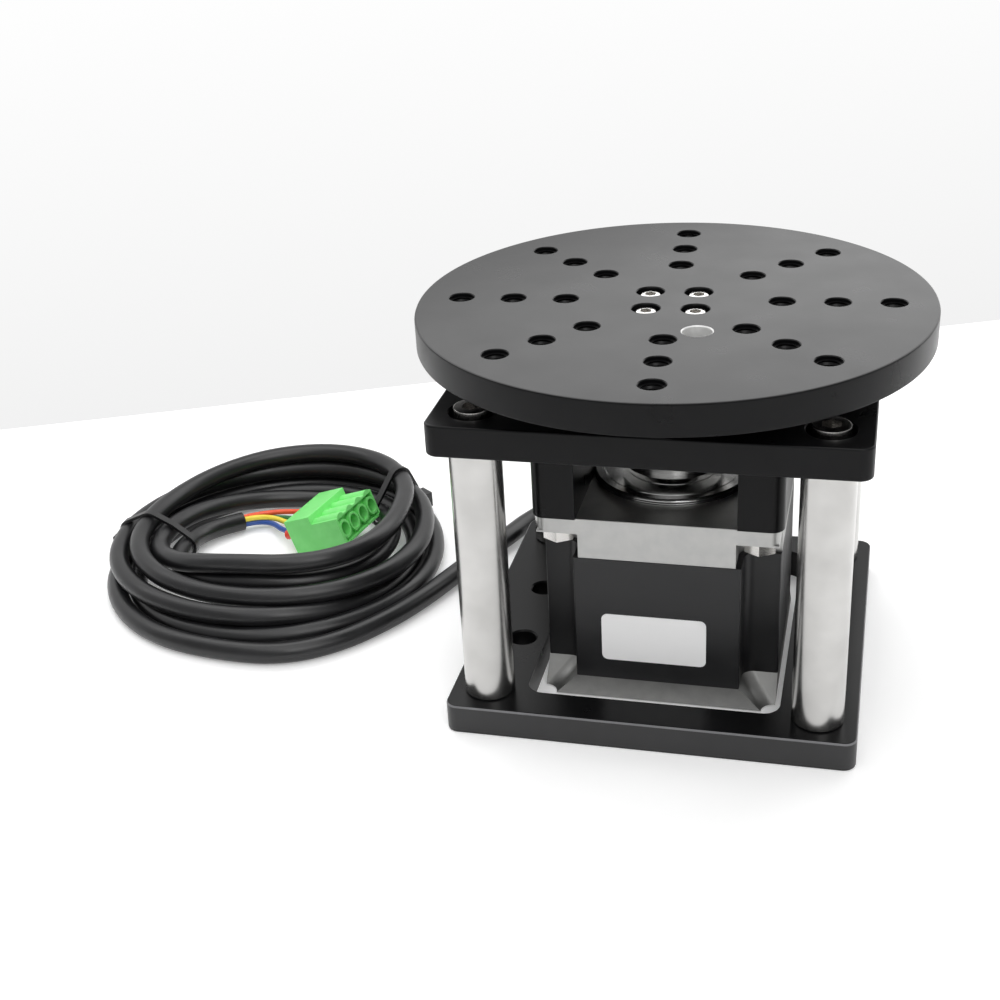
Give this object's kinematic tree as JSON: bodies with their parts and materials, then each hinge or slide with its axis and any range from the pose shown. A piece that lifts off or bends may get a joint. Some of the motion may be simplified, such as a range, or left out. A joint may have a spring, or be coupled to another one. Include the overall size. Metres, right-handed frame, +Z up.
{
  "type": "motorized rotary table",
  "caption": "Round tapped table turned by a stepper motor that hangs between two square plates on four posts, with a coiled cable and a plug.",
  "frame": {"origin": "centre of the base plate's underside, on the table's axis of rotation", "axes": "+Z up along the axis of rotation, +X to the right and +Y away from the viewer, along the plates' sides"},
  "size_m": [0.2315, 0.1389, 0.0935],
  "materials": {
    "black_anodised": "black anodised, fine matt grain",
    "polished_post": "polished steel",
    "screw_steel": "bright zinc-plated steel",
    "screw_black": "black oxide steel",
    "cast_flange": "die-cast, machined faces",
    "cast_cap": "die-cast, matt",
    "stator_black": "black painted laminations",
    "copper": "enamelled copper",
    "rotor_iron": "bare laminations",
    "magnet": "sintered, matt",
    "bearing_steel": "ground steel",
    "cage_steel": "pressed steel",
    "hub_aluminium": "turned, bright",
    "label_white": "bare printed film",
    "cable_jacket": "matt black jacket",
    "tie_black": "black nylon",
    "connector_green": "moulded, slightly glossy",
    "wire_red": "coloured insulation",
    "wire_green": "coloured insulation",
    "wire_yellow": "coloured insulation",
    "wire_blue": "coloured insulation"
  },
  "bodies": {
    "frame": {"base_plate": "black_anodised", "top_plate": "black_anodised", "motor_bracket": "black_anodised", "post_front_left": "polished_post", "post_front_right": "polished_post", "post_back_left": "polished_post", "post_back_right": "polished_post", "top_post_screws": "screw_steel", "bottom_post_screws": "screw_steel", "motor_screws": "screw_steel", "flange_nuts": "screw_steel", "motor_front_cap": "cast_flange", "motor_stator": "stator_black", "motor_windings": "copper", "motor_rear_cap": "cast_cap", "motor_tie_screws": "screw_steel", "motor_label": "label_white", "wave_washer": "screw_steel", "bearing_retainer": "hub_aluminium", "retainer_screws": "screw_steel", "cable_grommet": "cable_jacket", "cable_run": "cable_jacket", "cable_coil": "cable_jacket", "cable_tail": "cable_jacket", "cable_tie_left": "tie_black", "cable_tie_right": "tie_black", "connector_body": "connector_green", "connector_screws": "screw_steel", "wire_red": "wire_red", "wire_green": "wire_green", "wire_yellow": "wire_yellow", "wire_blue": "wire_blue", "upper_bearing_outer_ring": "bearing_steel", "lower_bearing_outer_ring": "bearing_steel", "motor_front_bearing_outer_ring": "bearing_steel", "motor_rear_bearing_outer_ring": "bearing_steel"},
    "turntable": {"table_disc": "black_anodised", "table_hub": "hub_aluminium", "hub_screws": "screw_steel", "shaft_clamp": "hub_aluminium", "clamp_screw": "screw_black", "bearing_spacer": "hub_aluminium", "upper_bearing_inner_ring": "bearing_steel", "lower_bearing_inner_ring": "bearing_steel", "motor_front_bearing_inner_ring": "bearing_steel", "motor_rear_bearing_inner_ring": "bearing_steel", "motor_shaft": "bearing_steel", "rotor_front_cup": "rotor_iron", "rotor_rear_cup": "rotor_iron", "rotor_magnet": "magnet"},
    "hub_balls": {"upper_bearing_balls": "bearing_steel", "upper_bearing_cage": "cage_steel", "lower_bearing_balls": "bearing_steel", "lower_bearing_cage": "cage_steel"},
    "motor_balls": {"motor_front_bearing_balls": "bearing_steel", "motor_front_bearing_cage": "cage_steel", "motor_rear_bearing_balls": "bearing_steel", "motor_rear_bearing_cage": "cage_steel"}
  },
  "joints": [
    {"name": "table_axis", "type": "hinge", "parent": "frame", "child": "turntable", "pos_m": [0, 0, 0.0805], "axis": [0, 0, 1], "continuous": true},
    {"name": "hub_balls_axis", "type": "hinge", "parent": "frame", "child": "hub_balls", "pos_m": [0, 0, 0.077], "axis": [0, 0, 1], "continuous": true},
    {"name": "motor_balls_axis", "type": "hinge", "parent": "frame", "child": "motor_balls", "pos_m": [0, 0, 0.0466], "axis": [0, 0, 1], "continuous": true}
  ],
  "couplings": [
    {"joint": "hub_balls_axis", "follows": "table_axis", "ratio": 0.4385},
    {"joint": "motor_balls_axis", "follows": "table_axis", "ratio": 0.3667}
  ]
}
